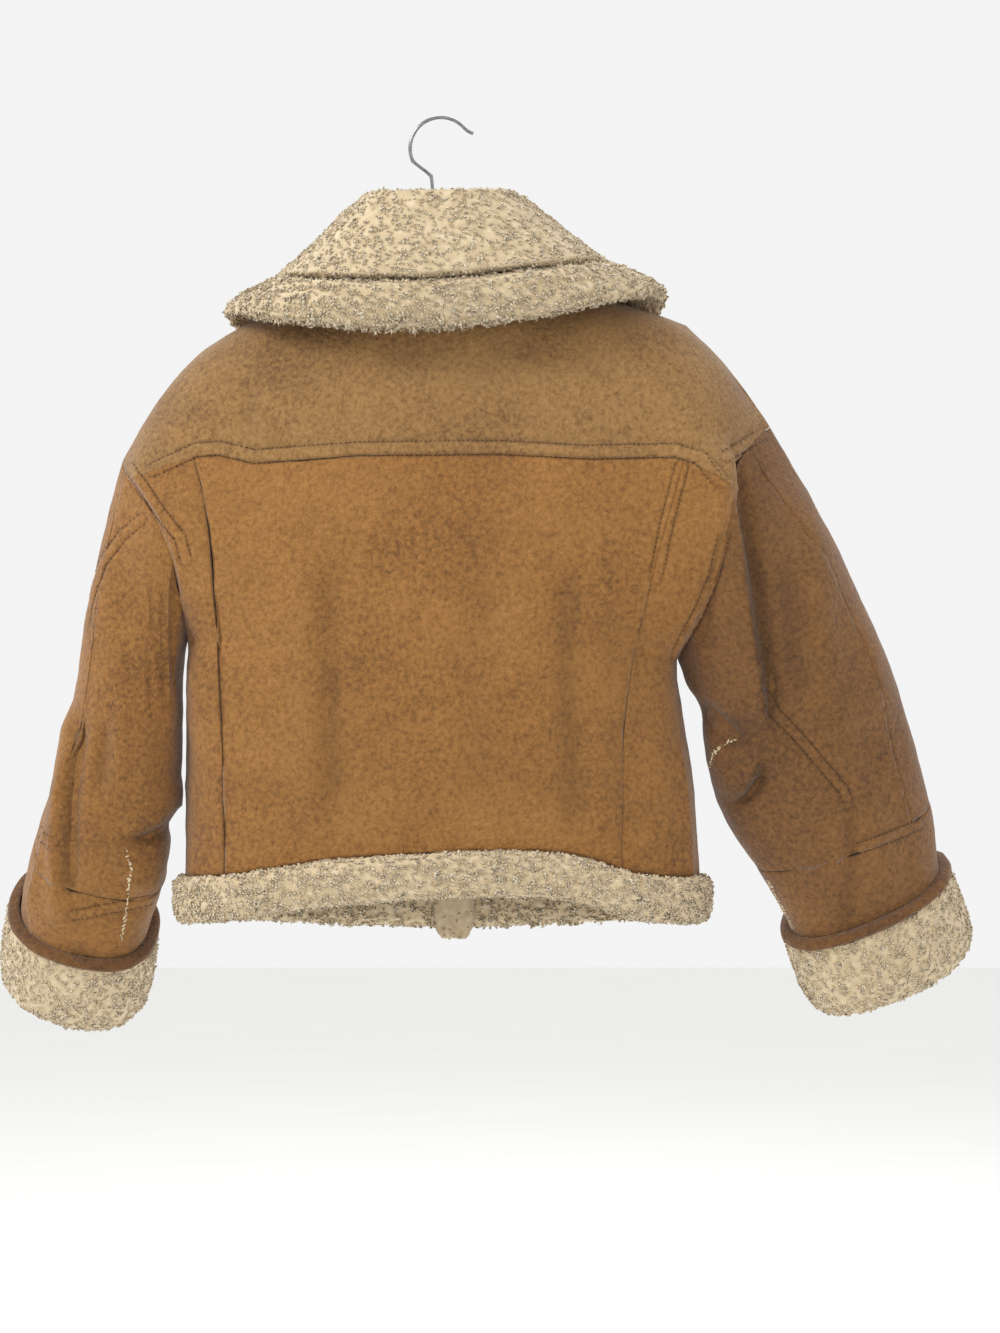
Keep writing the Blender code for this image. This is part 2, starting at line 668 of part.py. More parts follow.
def shoulder_height(x):
    """Height of the shoulder line's outer face at x."""
    table = LEFT_SHOULDER if x < 0 else RIGHT_SHOULDER
    line = sorted((row[1], row[2]) for row in table)
    return float(np.interp(x, [p[0] for p in line], [p[1] for p in line]))


def hanger():
    """A plain wooden bar under the shoulders, and the wire hook that stands on it."""
    path = []
    under = WALL * 1.25 + BAR_TALL + BAR_UNDER_SKIN
    for k in range(BAR_STEPS + 1):
        x = -BAR_HALF_WIDTH + 2 * BAR_HALF_WIDTH * k / BAR_STEPS
        neck_z = NECK_SIDE_Z + 4 * (1 - (x / NECK_HALF_WIDTH) ** 2)
        slope_z = shoulder_height(x) if abs(x) > NECK_HALF_WIDTH else neck_z
        path.append(np.array([x, 0.0, slope_z - under]))
    tube("hanger_bar", path, BAR_TALL, BAR_DEEP, 8, WOOD)
    bar_top = float(np.interp(SHANK_X, [p[0] for p in path], [p[2] for p in path])) + BAR_TALL
    centre_z = WIRE - CROOK_RADIUS
    wire = [np.array([x, 0, z]) for x, z in WIRE_TIP]
    for turn in range(36, 205, 12):
        a = math.radians(turn)
        wire.append(np.array([CROOK_RADIUS * math.cos(a), 0, centre_z + CROOK_RADIUS * math.sin(a)]))
    wire += [np.array([x, 0, z]) for x, z in WIRE_SHANK]
    wire.append(np.array([SHANK_X, 0, bar_top + SEAM_GAP]))
    tube("hanger_hook", wire, WIRE, WIRE, 8, STEEL)


def closure():
    """The zip's slider and leather pull, and the sheepskin flap behind the zip."""
    normals_in = np.array([0, -1.0, 0])
    rows = []
    for k in range(FLAP_STEPS + 1):
        level = FLAP_TOP_LEVEL + (3.0 - FLAP_TOP_LEVEL) * k / FLAP_STEPS
        low = max(0, level - 2.2) / 0.8
        high = max(0, 1 - level)
        inset = WALL + FLAP_BEHIND + FLAP_BEHIND_HEM * low + FLAP_BEHIND_NECK * high**2
        for half in FLAP_ACROSS:
            place = front_point("zip_left", level)
            place[0] = FLAP_X + half * FLAP_HALF
            rows.append(place + normals_in * inset)
    for drop, narrow in FLAP_TAIL:
        for half in FLAP_ACROSS:
            place = front_point("zip_left", 3.0) + normals_in * (WALL + FLAP_BEHIND_BAND)
            place[0] = FLAP_X + half * FLAP_HALF * narrow
            rows.append(place - np.array([0, 0, drop]))
    points = rows + [p + normals_in * FLAP_WALL for p in rows]
    faces = slab(len(rows) // len(FLAP_ACROSS), len(FLAP_ACROSS))
    solid("wind_flap", points, outwards(points, faces), PILE)
    face_at = front_point("zip_left", SLIDER_LEVEL)
    y = face_at[1] + SLIDER_PROUD
    box("zip_slider", (ZIP_X, y, face_at[2]), SLIDER_HALF, STEEL)
    pull_at = (ZIP_X, y + SLIDER_HALF[1] + PULL_HALF[1] + PULL_CLEAR, face_at[2] - PULL_DROP)
    box("zip_pull", pull_at, PULL_HALF, BINDING)


def box(name, centre, half, look):
    signs = [(x, y, z) for x in (-1, 1) for y in (-1, 1) for z in (-1, 1)]
    points = [np.array(centre) + np.array(half) * np.array(s) for s in signs]
    faces = [[0, 1, 3, 2], [4, 6, 7, 5], [0, 4, 5, 1], [2, 3, 7, 6], [0, 2, 6, 4], [1, 5, 7, 3]]
    return solid(name, points, faces, look)


def build():
    for old in list(bpy.data.objects):
        bpy.data.objects.remove(old, do_unlink=True)
    arms = {
        "left": (Curve(LEFT_ARM), LEFT_FOLDS, left_edge),
        "right": (Curve(RIGHT_ARM), RIGHT_FOLDS, right_edge),
    }
    skin = Skin()
    torso_skin(skin)
    for side, (arm, folds, edge) in arms.items():
        sleeve_skin(skin, side, arm, folds, edge)
    normals = skin.normals()
    for name in dict.fromkeys(skin.panels):
        if name == "zip":
            skin.piece(name, TAPE, ZIP_WALL, ZIP_SUNK, normals)
        else:
            skin.piece(name, LEATHER, WALL, 0.0, normals)
    for side, (arm, folds, edge) in arms.items():
        cuff(side, arm, folds, edge)
    body = BVHTree.FromPolygons([tuple(p) for p in skin.points], skin.faces)
    collar(body)
    hem()
    closure()
    hanger()


build()
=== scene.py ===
# %% [markdown]
# A sheepskin flying jacket hangs on a hanger with its back to us. The solids already have the
# garment's shape. Here every panel gets a smoother skin with its seams and creases, the pile gets
# its curls, and each finish gets a material. Working from the solids keeps every seam in place.

import math

import bmesh
import bpy
import numpy as np
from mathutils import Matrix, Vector
from mathutils.bvhtree import BVHTree


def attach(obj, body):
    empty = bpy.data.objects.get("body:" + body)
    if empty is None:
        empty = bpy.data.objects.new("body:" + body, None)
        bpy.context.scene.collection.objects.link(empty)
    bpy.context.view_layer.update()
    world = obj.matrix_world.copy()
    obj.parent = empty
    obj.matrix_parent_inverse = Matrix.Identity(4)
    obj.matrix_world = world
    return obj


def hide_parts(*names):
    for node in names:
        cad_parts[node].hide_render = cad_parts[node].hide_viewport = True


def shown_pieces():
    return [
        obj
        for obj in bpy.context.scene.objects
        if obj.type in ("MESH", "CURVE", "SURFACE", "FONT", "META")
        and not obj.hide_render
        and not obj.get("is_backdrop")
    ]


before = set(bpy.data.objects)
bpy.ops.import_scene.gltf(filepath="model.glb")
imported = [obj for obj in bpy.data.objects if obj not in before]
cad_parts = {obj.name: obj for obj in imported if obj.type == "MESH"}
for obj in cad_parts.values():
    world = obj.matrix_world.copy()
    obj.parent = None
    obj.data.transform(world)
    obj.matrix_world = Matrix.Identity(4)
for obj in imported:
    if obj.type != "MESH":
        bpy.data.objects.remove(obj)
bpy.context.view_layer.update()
MM = 0.001           # tables and distances are in millimetres, meshes in metres
PILE_SEED = 7
print("solids:", len(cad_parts))

# %% [markdown]
# A material is a small graph of nodes. One function adds a node with its settings and links, and
# one turns a colour written as sRGB hex into the linear numbers that the shader wants.

# %% Two helpers for materials
def colour(hex_code):
    parts = [int(hex_code[i:i + 2], 16) / 255 for i in (1, 3, 5)]
    linear = [c / 12.92 if c <= 0.04045 else ((c + 0.055) / 1.055) ** 2.4 for c in parts]
    return (*linear, 1.0)


def add_node(finish, kind, links=None, **settings):
    node = finish.node_tree.nodes.new(kind)
    for key, value in settings.items():
        if key.startswith("in_"):
            name = key[3:].replace("_", " ")
            node.inputs[int(name) if name.isdigit() else name].default_value = value
        else:
            setattr(node, key, value)
    for socket, source in (links or {}).items():
        finish.node_tree.links.new(source, node.inputs[socket])
    return node


def new_finish(name, **shader_settings):
    finish = bpy.data.materials.new(name)
    finish.use_nodes = True
    shader = finish.node_tree.nodes["Principled BSDF"]
    for key, value in shader_settings.items():
        shader.inputs[key.replace("_", " ")].default_value = value
    return finish, shader


def ramp(finish, source, stops):
    """A colour ramp over a value: stops are (place, hex)."""
    node = add_node(finish, "ShaderNodeValToRGB", {"Fac": source})
    while len(node.color_ramp.elements) < len(stops):
        node.color_ramp.elements.new(0.5)
    for element, (place, code) in zip(node.color_ramp.elements, stops):
        element.position = place
        element.color = colour(code)
    return node.outputs["Color"]


# %% [markdown]
# Sueded sheepskin is the flesh side of the hide, buffed. It is matt with a soft sheen. Its tan dye
# takes unevenly, in patches about a hand wide and in marks of the nap. A fine pebble grain is a
# bump about a millimetre deep, and the seams and creases are in the mesh.

# %% Suede, in four finishes
PATCH_SCALE = 9.0            # patches of dye, about 110 mm
NAP_SCALE = 1 / 0.0045       # nap marks about 4.5 mm long, drawn coarse enough to show
PEBBLE_SCALE = 1 / 0.0027    # pebbles of the grain, 2.7 mm
SUEDE_BUMP = 0.0011          # metres
PLAIN_BUMP = 0.0003          # metres
SHADE_AND_TONE_SHARE = 0.85            # how much of the painted shade along seams and folds, and of the dye's tone, shows


def suede(name, dark, middle, light):
    finish, shader = new_finish(name, Roughness=0.86, IOR=1.45, Sheen_Weight=0.22,
                                Sheen_Roughness=0.5)
    place = add_node(finish, "ShaderNodeTexCoord").outputs["Object"]
    patches = add_node(finish, "ShaderNodeTexNoise", {"Vector": place}, in_Scale=PATCH_SCALE,
                       in_Detail=6.0, in_Roughness=0.6)
    nap = add_node(finish, "ShaderNodeTexNoise", {"Vector": place}, in_Scale=NAP_SCALE,
                   in_Detail=4.0, in_Roughness=0.7)
    quiet = add_node(finish, "ShaderNodeMath", {0: patches.outputs["Fac"]}, operation="MULTIPLY",
                     in_1=0.30)
    both = add_node(finish, "ShaderNodeMath", {0: nap.outputs["Fac"], 2: quiet.outputs[0]},
                    operation="MULTIPLY_ADD", in_1=0.62)
    tint = ramp(finish, both.outputs[0], [(0.31, dark), (0.46, middle), (0.62, light)])
    # Vertex colours: the dye's random tone and the painted shade along seams, creases and folds.
    tone_and_shade = add_node(finish, "ShaderNodeVertexColor", layer_name="tone_and_painted_shade")
    mixed = add_node(finish, "ShaderNodeMix", {6: tint, 7: tone_and_shade.outputs["Color"]}, data_type="RGBA",
                     blend_type="MULTIPLY", in_0=SHADE_AND_TONE_SHARE)
    finish.node_tree.links.new(mixed.outputs[2], shader.inputs["Base Color"])
    pebbles = add_node(finish, "ShaderNodeTexVoronoi", {"Vector": place}, in_Scale=PEBBLE_SCALE)
    height = add_node(finish, "ShaderNodeMath",
                      {0: nap.outputs["Fac"], 1: pebbles.outputs["Distance"]}, operation="ADD")
    bump = add_node(finish, "ShaderNodeBump", {"Height": height.outputs[0]}, in_Strength=0.7,
                    in_Distance=SUEDE_BUMP)
    finish.node_tree.links.new(bump.outputs["Normal"], shader.inputs["Normal"])
    return finish


body_suede = suede("tan sueded sheepskin", "#6b451f", "#97672f", "#ac7b41")
yoke_suede = suede("tan sueded sheepskin, greyer lot", "#6e4b28", "#97703f", "#ad8552")
# The right sleeves take a darker copy of the suede: painted shade, for the shade that falls on them.
shaded_right_suede = suede("tan sueded sheepskin, darkened with painted shade", "#563819", "#7d5429", "#936636")
binding_suede = suede("brown binding suede", "#4f3318", "#70491f", "#835a2c")

# %% [markdown]
# Turned-out pile is crimped wool. It scatters light, so it has no gloss and a strong sheen. Its colour
# runs from grey-brown at the root to cream at the tip, the darker root being painted shade. Each
# lock carries its own tone.

# %% Pile, wood, steel, tape, brass and thread
def pile(name, root, tip):
    finish, shader = new_finish(name, Roughness=1.0, Sheen_Weight=0.35, Sheen_Roughness=0.6)
    # Vertex colours: each lock's tone, with painted shade at its root and on the base between locks.
    tone = add_node(finish, "ShaderNodeVertexColor", layer_name="tone_and_painted_shade")
    place = add_node(finish, "ShaderNodeTexCoord").outputs["Object"]
    tufts = add_node(finish, "ShaderNodeTexNoise", {"Vector": place}, in_Scale=160.0, in_Detail=3.0)
    value = add_node(finish, "ShaderNodeMath", {0: tone.outputs["Color"], 1: tufts.outputs["Fac"]},
                     operation="MULTIPLY_ADD")
    value.inputs[2].default_value = 0.12
    # The ramp's dark root end shows the painted shade at the lock roots and on the base.
    tint = ramp(finish, value.outputs[0], [(0.16, root), (0.42, "#d9c5a1"), (0.66, tip)])
    finish.node_tree.links.new(tint, shader.inputs["Base Color"])
    return finish


def plain_finish(name, low, high, scale, strength, **settings):
    finish, shader = new_finish(name, **settings)
    place = add_node(finish, "ShaderNodeTexCoord").outputs["Object"]
    stretch = add_node(finish, "ShaderNodeMapping", {"Vector": place}, in_Scale=(1.0, 8.0, 8.0))
    grain = add_node(finish, "ShaderNodeTexNoise", {"Vector": stretch.outputs[0]}, in_Scale=scale,
                     in_Detail=4.0)
    tint = ramp(finish, grain.outputs["Fac"], [(0.35, low), (0.65, high)])
    bump = add_node(finish, "ShaderNodeBump", {"Height": grain.outputs["Fac"]},
                    in_Strength=strength, in_Distance=PLAIN_BUMP)
    finish.node_tree.links.new(tint, shader.inputs["Base Color"])
    finish.node_tree.links.new(bump.outputs["Normal"], shader.inputs["Normal"])
    return finish


cream_pile = pile("turned-out sheepskin pile", "#b9a27c", "#eedfc0")
steel = plain_finish("drawn steel wire", "#77797b", "#a0a2a4", 90.0, 0.1, Roughness=0.24,
                     Metallic=1.0)
beech = plain_finish("oiled beech", "#8a6238", "#a97f4f", 30.0, 0.2, Roughness=0.5)
cotton_tape = plain_finish("woven cotton zip tape", "#3a2618", "#4a3222", 600.0, 0.4,
                           Roughness=0.85)
brass = plain_finish("aged brass", "#8a6a32", "#b08c48", 200.0, 0.1, Roughness=0.38, Metallic=1.0)
thread = plain_finish("brown sewing thread", "#3c2412", "#4f3219", 900.0, 0.3, Roughness=0.8)
cream_edge = plain_finish("raw pile edge at a seam", "#c7b48f", "#eadcbd", 300.0, 0.5,
                          Roughness=1.0)
print("finishes:", len(bpy.data.materials))

# %% [markdown]
# Each panel is a copy of its solid. The loose triangles are merged and joined into quads, the rim
# is held sharp, and Subdivision Surface rounds the rest, which is what a stiff hide does.

# %% A smoother copy of a solid
def deselect():
    if bpy.context.mode != "OBJECT":
        bpy.ops.object.mode_set(mode="OBJECT")
    bpy.ops.object.select_all(action="DESELECT")


RIM_STRAIGHT = -0.95     # a rim that turns more than this keeps its corner, so that seams stay shut
RIM_ANGLE = 32           # degrees between two faces from which their edge is held sharp
NO_RIM = 100             # degrees, more than the edges of a block have, so that all are rounded


def smoother(node, levels, rim_angle=RIM_ANGLE):
    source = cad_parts[node]
    piece = bpy.data.objects.new(node + "_made", source.data.copy())
    bpy.context.scene.collection.objects.link(piece)
    piece.data.materials.clear()
    deselect()
    bpy.context.view_layer.objects.active = piece
    piece.select_set(True)
    bpy.ops.object.mode_set(mode="EDIT")
    bpy.ops.mesh.select_all(action="SELECT")
    bpy.ops.mesh.remove_doubles(threshold=0.00002)
    bpy.ops.mesh.tris_convert_to_quads(face_threshold=math.radians(35),
                                       shape_threshold=math.radians(60))
    bpy.ops.object.mode_set(mode="OBJECT")
    built = bmesh.new()
    built.from_mesh(piece.data)
    crease = built.edges.layers.float.new("crease_edge")
    for edge in built.edges:
        if len(edge.link_faces) == 2 and math.degrees(edge.calc_face_angle(0)) > rim_angle:
            edge[crease] = 1.0
    pin = built.verts.layers.float.new("crease_vert")
    for vert in built.verts:
        rim = [(e.other_vert(vert).co - vert.co).normalized()
               for e in vert.link_edges if e[crease] > 0]
        straight = any(a.dot(b) < RIM_STRAIGHT for a in rim for b in rim)
        if len(rim) > 1 and not straight:
            vert[pin] = 1.0
    built.to_mesh(piece.data)
    built.free()
    subdivide = piece.modifiers.new("rounding", "SUBSURF")
    subdivide.levels = levels
    subdivide.render_levels = levels
    bpy.ops.object.modifier_apply(modifier=subdivide.name)
    bpy.ops.object.shade_smooth()
    return piece


def read_points(piece):
    points = np.zeros(len(piece.data.vertices) * 3)
    normals = np.zeros(len(piece.data.vertices) * 3)
    piece.data.vertices.foreach_get("co", points)
    piece.data.vertices.foreach_get("normal", normals)
    return points.reshape(-1, 3) / MM, normals.reshape(-1, 3)


def write_points(piece, points, shade):
    piece.data.vertices.foreach_set("co", (points * MM).ravel())
    # Vertex colours hold tone and painted shade: along the leather's seams and folds, and in the pile.
    layer = piece.data.color_attributes.get("tone_and_painted_shade")
    if layer is None:
        layer = piece.data.color_attributes.new("tone_and_painted_shade", "FLOAT_COLOR", "POINT")
    tones = np.ones((len(points), 4))
    tones[:, :3] = np.clip(shade, 0, 1)[:, None]
    layer.data.foreach_set("color", tones.ravel())
    piece.data.update()


# %% [markdown]
# Seams and creases are laid down as short lines in millimetres, x across and z up. A
# "step" lifts one side, a "band" is a felled seam between two stitched lines, a "trough" sinks and
# a "ridge" rises. The half width says how far each reaches. The front has its own plainer lines.

# %% The lines of the back, sleeves and front
# Columns: side, kind, height, half width, line of (x, z)
RELIEF = [
    ("back", "band", 1.3, 6.0, [(-266, -337), (-224, -319), (-202, -318), (-170, -326), (-73, -319),
                                (57, -318), (137, -322), (218, -320), (240, -327), (257, -350)]),
    ("back", "band", 1.0, 5.0, [(-290, -334), (-275, -353), (-258, -377), (-239, -400), (-234, -421)]),
    ("back", "trough", 1.6, 3.0, [(-226, -326), (-214, -392), (-207, -462), (-202, -567), (-199, -705)]),
    ("back", "band", 1.1, 5.5, [(223, -335), (210, -384), (199, -437)]),
    ("back", "trough", 0.9, 3.0, [(199, -437), (176, -534), (170, -587), (167, -697)]),
    ("back", "band", 1.0, 5.0, [(261, -400), (254, -434), (242, -465), (228, -492), (221, -508)]),
    ("back", "band", 1.1, 5.0, [(304, -299), (261, -327)]),
    ("back", "band", 1.0, 5.0, [(-278, -382), (-298, -397), (-318, -422), (-330, -455), (-334, -478)]),
    ("back", "ridge", 3.0, 14.0, [(-128, -403), (-122, -520), (-116, -640), (-110, -690)]),
    ("back", "trough", 3.4, 11.0, [(-102, -420), (-98, -540), (-96, -660)]),
    ("back", "ridge", 3.2, 16.0, [(148, -390), (146, -500), (152, -600), (150, -690)]),
    ("back", "trough", 3.6, 13.0, [(118, -430), (120, -560), (126, -680)]),
    ("back", "ridge", 2.2, 22.0, [(-20, -400), (-30, -560), (-18, -680)]),
    ("back", "trough", 1.8, 20.0, [(40, -370), (34, -520), (44, -650)]),
    ("back", "trough", 2.0, 8.0, [(-172, -250), (-176, -290), (-168, -318)]),
    ("back", "ridge", 1.8, 9.0, [(-158, -245), (-160, -290), (-156, -318)]),
    ("back", "trough", 2.4, 18.0, [(-60, -232), (30, -240), (110, -226)]),
    ("back", "ridge", 1.6, 14.0, [(-240, -250), (-215, -290), (-205, -316)]),
    ("back", "ridge", 1.6, 14.0, [(240, -240), (225, -285), (222, -316)]),
    ("back", "trough", 2.0, 4.0, [(-246, -424), (-250, -480), (-247, -555)]),
    ("back", "trough", 1.7, 3.5, [(-255, -430), (-260, -500), (-256, -560)]),
    ("back", "trough", 1.5, 3.5, [(-264, -440), (-270, -505), (-266, -575)]),
    ("back", "ridge", 1.6, 3.0, [(-240, -440), (-243, -520)]),
    ("back", "ridge", 7.0, 9.0, [(-346, -550), (-353, -586), (-357, -629), (-361, -688), (-361, -738),
                                 (-360, -770)]),
    ("back", "trough", 7.0, 8.0, [(-336, -560), (-344, -640), (-350, -740)]),
    ("back", "step", 9.0, 10.0, [(-296, -679), (-273, -675), (-265, -667), (-251, -646), (-239, -629)]),
    ("back", "trough", 8.0, 8.0, [(-243, -642), (-262, -672), (-298, -687)]),
    ("back", "band", 1.0, 4.5, [(-383, -677), (-361, -684)]),
    ("back", "band", 1.0, 4.5, [(-347, -754), (-273, -740)]),
    ("back", "trough", 2.6, 5.0, [(-363, -778), (-317, -809)]),
    ("back", "step", 11.0, 11.0, [(303, -583), (302, -559), (298, -526), (291, -486), (286, -454),
                                  (278, -405), (271, -373), (267, -348), (265, -302)]),
    ("back", "trough", 4.0, 8.0, [(276, -320), (278, -348), (284, -390), (296, -452), (304, -510),
                                  (312, -566)]),
    ("back", "step", 8.0, 9.0, [(270, -648), (284, -636), (294, -620), (300, -600)]),
    ("back", "trough", 5.0, 7.0, [(302, -608), (297, -626), (288, -640), (274, -653)]),
    ("back", "band", 1.1, 4.5, [(302, -545), (311, -562), (333, -584), (357, -612), (377, -635),
                                (381, -648)]),
    ("back", "trough", 3.2, 8.0, [(379, -642), (385, -701), (383, -776)]),
    ("back", "ridge", 3.0, 8.0, [(371, -650), (375, -710), (374, -770)]),
    ("back", "band", 1.1, 4.5, [(392, -689), (454, -668)]),
    ("back", "ridge", 3.0, 7.0, [(445, -687), (448, -706), (466, -728)]),
    ("back", "ridge", 5.0, 16.0, [(340, -340), (352, -420), (356, -500), (350, -560)]),
    ("back", "ridge", 2.4, 14.0, [(400, -470), (412, -540), (420, -620)]),
    ("back", "trough", 8.0, 10.0, [(236, -548), (252, -566), (272, -584), (284, -600)]),
    ("back", "trough", 4.0, 12.0, [(322, -420), (328, -500), (336, -560)]),
    ("back", "ridge", 4.0, 12.0, [(330, -600), (344, -660), (350, -730)]),
    ("back", "trough", 4.0, 9.0, [(-310, -560), (-316, -610), (-318, -650)]),
    ("back", "ridge", 3.0, 9.0, [(-296, -540), (-298, -600), (-302, -650)]),
    ("front", "trough", 1.6, 3.0, [(-226, -330), (-212, -420), (-205, -560), (-202, -700)]),
    ("front", "trough", 1.6, 3.0, [(218, -330), (200, -430), (180, -560), (174, -700)]),
    ("front", "ridge", 2.8, 15.0, [(-110, -400), (-120, -540), (-112, -690)]),
    ("front", "trough", 2.4, 13.0, [(-70, -380), (-74, -520), (-66, -660)]),
    ("front", "ridge", 2.8, 15.0, [(105, -400), (112, -540), (104, -690)]),
    ("front", "trough", 2.4, 13.0, [(70, -400), (66, -530), (72, -680)]),
    ("front", "trough", 3.0, 9.0, [(-330, -520), (-345, -640), (-352, -740)]),
    ("front", "ridge", 3.4, 10.0, [(-306, -520), (-318, -620), (-326, -720)]),
    ("front", "trough", 3.2, 9.0, [(330, -470), (356, -580), (378, -690)]),
    ("front", "ridge", 3.4, 10.0, [(356, -440), (388, -560), (410, -680)]),
    ("front", "step", 3.0, 9.0, [(-243, -640), (-270, -668), (-300, -672)]),
    ("front", "step", 3.0, 9.0, [(262, -640), (290, -660), (320, -664)]),
]
PUCKER_LENGTH = 8.0        # mm between puckers along a felled seam
FADE = 26.0                # mm over which a line dies away at its ends
GROOVE_DEPTH = 1.1         # mm that the stitching sinks beside a felled seam
GROOVE_WIDTH = 1.3         # mm
GROOVE_OUT = 0.6           # mm from the seam's edge to the groove's middle
GROOVE_PAINTED_SHADE = 0.42         # share of painted shade in the groove
STEP_FALL = 2.0            # mm over which a step drops on its low side
STEP_SHADE = 9.0           # mm over which shade is painted below a step
# Columns: height in mm, size in mm, seed of each wobble of the leather
LEATHER_WAVES = [(0.9, 70, 3), (0.35, 26, 4)]
TONE_WAVE = (0.03, 45, 8)  # the same for its tone, as a share
WAVES = 7                  # waves that make up one wobble
WAVE_SUM = 3.2             # what brings their sum to about -1 to 1


def near_line(points, line):
    """Distance to the line, signed by its side, place along it, and its whole length."""
    best = np.full(len(points), 1e9)
    signed = np.zeros(len(points))
    along = np.zeros(len(points))
    done = 0.0
    flat = points[:, [0, 2]]
    for first, second in zip(line[:-1], line[1:]):
        a = np.array(first, float)
        step = np.array(second, float) - a
        length = np.linalg.norm(step)
        t = np.clip(((flat - a) @ step) / length**2, 0, 1)
        off = flat - a - t[:, None] * step
        distance = np.linalg.norm(off, axis=1)
        side = np.sign(step[0] * off[:, 1] - step[1] * off[:, 0])
        closer = distance < best
        best = np.where(closer, distance, best)
        signed = np.where(closer, distance * side, signed)
        along = np.where(closer, done + t * length, along)
        done += length
    return best, signed, along, done


def wobble(points, size, seed):
    """Smooth uneven waves from -1 to 1, about that many millimetres across."""
    draw = np.random.default_rng(seed)
    total = np.zeros(len(points))
    for k in range(WAVES):
        way = draw.normal(size=3)
        way /= np.linalg.norm(way)
        reach = size * draw.uniform(0.7, 1.7)
        total += np.sin(points @ way * 2 * math.pi / reach + draw.uniform(0, 6.28))
    return total / WAVE_SUM


def wobbles(points, waves):
    return sum(high * wobble(points, size, seed) for high, size, seed in waves)


# Columns: x, z, reach across, reach up and down, how much painted shade darkens the leather there
PAINTED_SHADE_PLACES = [
    (160, -560, 60, 150, 0.13), (-110, -600, 40, 110, 0.12), (60, -640, 120, 60, 0.08),
    (300, -440, 46, 150, 0.24), (290, -600, 40, 50, 0.22), (400, -560, 60, 90, 0.08),
    (-262, -640, 40, 60, 0.22), (-320, -720, 60, 60, 0.14), (240, -440, 18, 70, 0.12),
    (-30, -216, 200, 24, 0.14), (-250, -470, 26, 70, 0.12),
]


def relief(points, side):
    lift = wobbles(points, LEATHER_WAVES)
    shade = 0.97 + wobbles(points, [TONE_WAVE])
    # Soft patches of painted shade over folds, hollows and below the collar.
    for x, z, across, tall, dark in PAINTED_SHADE_PLACES:
        reach = ((points[:, 0] - x) / across) ** 2 + ((points[:, 2] - z) / tall) ** 2
        shade = shade * (1 - dark * np.exp(-reach))
    for line_side, kind, high, half, line in RELIEF:
        if line_side != side:
            continue
        away, signed, along, whole = near_line(points, line)
        ends = np.clip(np.minimum(along, whole - along) / min(FADE, whole / 3), 0, 1)
        if kind == "band":
            ends = np.maximum(ends, 0.7)
            turns = along * 2 * math.pi / PUCKER_LENGTH
            puckers = 0.7 + 0.3 * np.sin(turns + wobble(points, 20, 5))
            inside = 1 / (1 + np.exp((away - half) / 0.7))
            groove = np.exp(-(((away - half - GROOVE_OUT) / GROOVE_WIDTH) ** 2))
            lift = lift + ends * (high * inside * puckers - GROOVE_DEPTH * groove)
            # Painted shade darkens the groove, and the raised band is painted 5 per cent lighter.
            shade = shade * (1 - GROOVE_PAINTED_SHADE * groove * ends) * (1 + 0.05 * inside)
        elif kind == "step":
            soft = np.where(signed > 0, np.exp(-((signed / (3 * half)) ** 2)),
                            np.exp(-((signed / STEP_FALL) ** 2)))
            lift = lift + ends * high * soft
            # Painted shade in the hollow under the step's overhang.
            under = np.where(signed < 0, np.exp(-((signed / STEP_SHADE) ** 2)), 0)
            shade = shade * (1 - 0.045 * high * under * ends)
        else:
            shape = np.exp(-((away / half) ** 2))
            lift = lift + ends * high * shape * (1 if kind == "ridge" else -1)
            # A trough's floor is darkened with painted shade.
            if kind == "trough":
                shade = shade * (1 - 0.07 * high * shape * ends)
    return lift, shade


# %% [markdown]
# A panel's outer face is told from its wool side by where its normal points: away from the middle
# of the body, or away from the middle line of a sleeve. Only the outer face takes the relief.

# %% Lay the relief on a panel
# Columns: top x, y, z and end x, y, z of each sleeve's middle line
SLEEVE_LINES = {
    "left": ((-270, 0, -410), (-346, 56, -770)),
    "right": ((268, 0, -402), (410, 42, -750)),
}
BODY_MIDDLE_X = 5.0        # mm, the body's middle line
UPWARD_LEAN = 60           # mm added upwards, so that the tops of the shoulders count as outer
BACK_TO_FRONT = 60         # mm over which the back's relief gives way to the front's
WOOL_SIDE_SHADE = 0.8      # the inner face, in shadow


def away_from_middle(points, node):
    side = "left" if node.endswith("left") else "right"
    if node.startswith(("sleeve", "cuff")):
        top, end = (np.array(p, float) for p in SLEEVE_LINES[side])
        t = np.clip((points - top) @ (end - top) / np.sum((end - top) ** 2), 0, 1)
        return points - top - t[:, None] * (end - top)
    middle = [np.full(len(points), BODY_MIDDLE_X), points[:, 1] * 0, points[:, 2] - UPWARD_LEAN]
    return points - np.stack(middle, axis=1)


def refine_bands(piece):
    """Cut the faces along the felled seams once more, so that their edges are crisp."""
    points, normals = read_points(piece)
    close = np.zeros(len(points), bool)
    for side, kind, high, half, line in RELIEF:
        if kind == "band":
            facing = normals[:, 1] < 0.2 if side == "back" else normals[:, 1] > -0.2
            close |= (near_line(points, line)[0] < half + 5) & facing
    built = bmesh.new()
    built.from_mesh(piece.data)
    edges = [e for e in built.edges if close[e.verts[0].index] and close[e.verts[1].index]]
    if edges:
        bmesh.ops.subdivide_edges(built, edges=edges, cuts=1, use_grid_fill=True)
    built.to_mesh(piece.data)
    built.free()


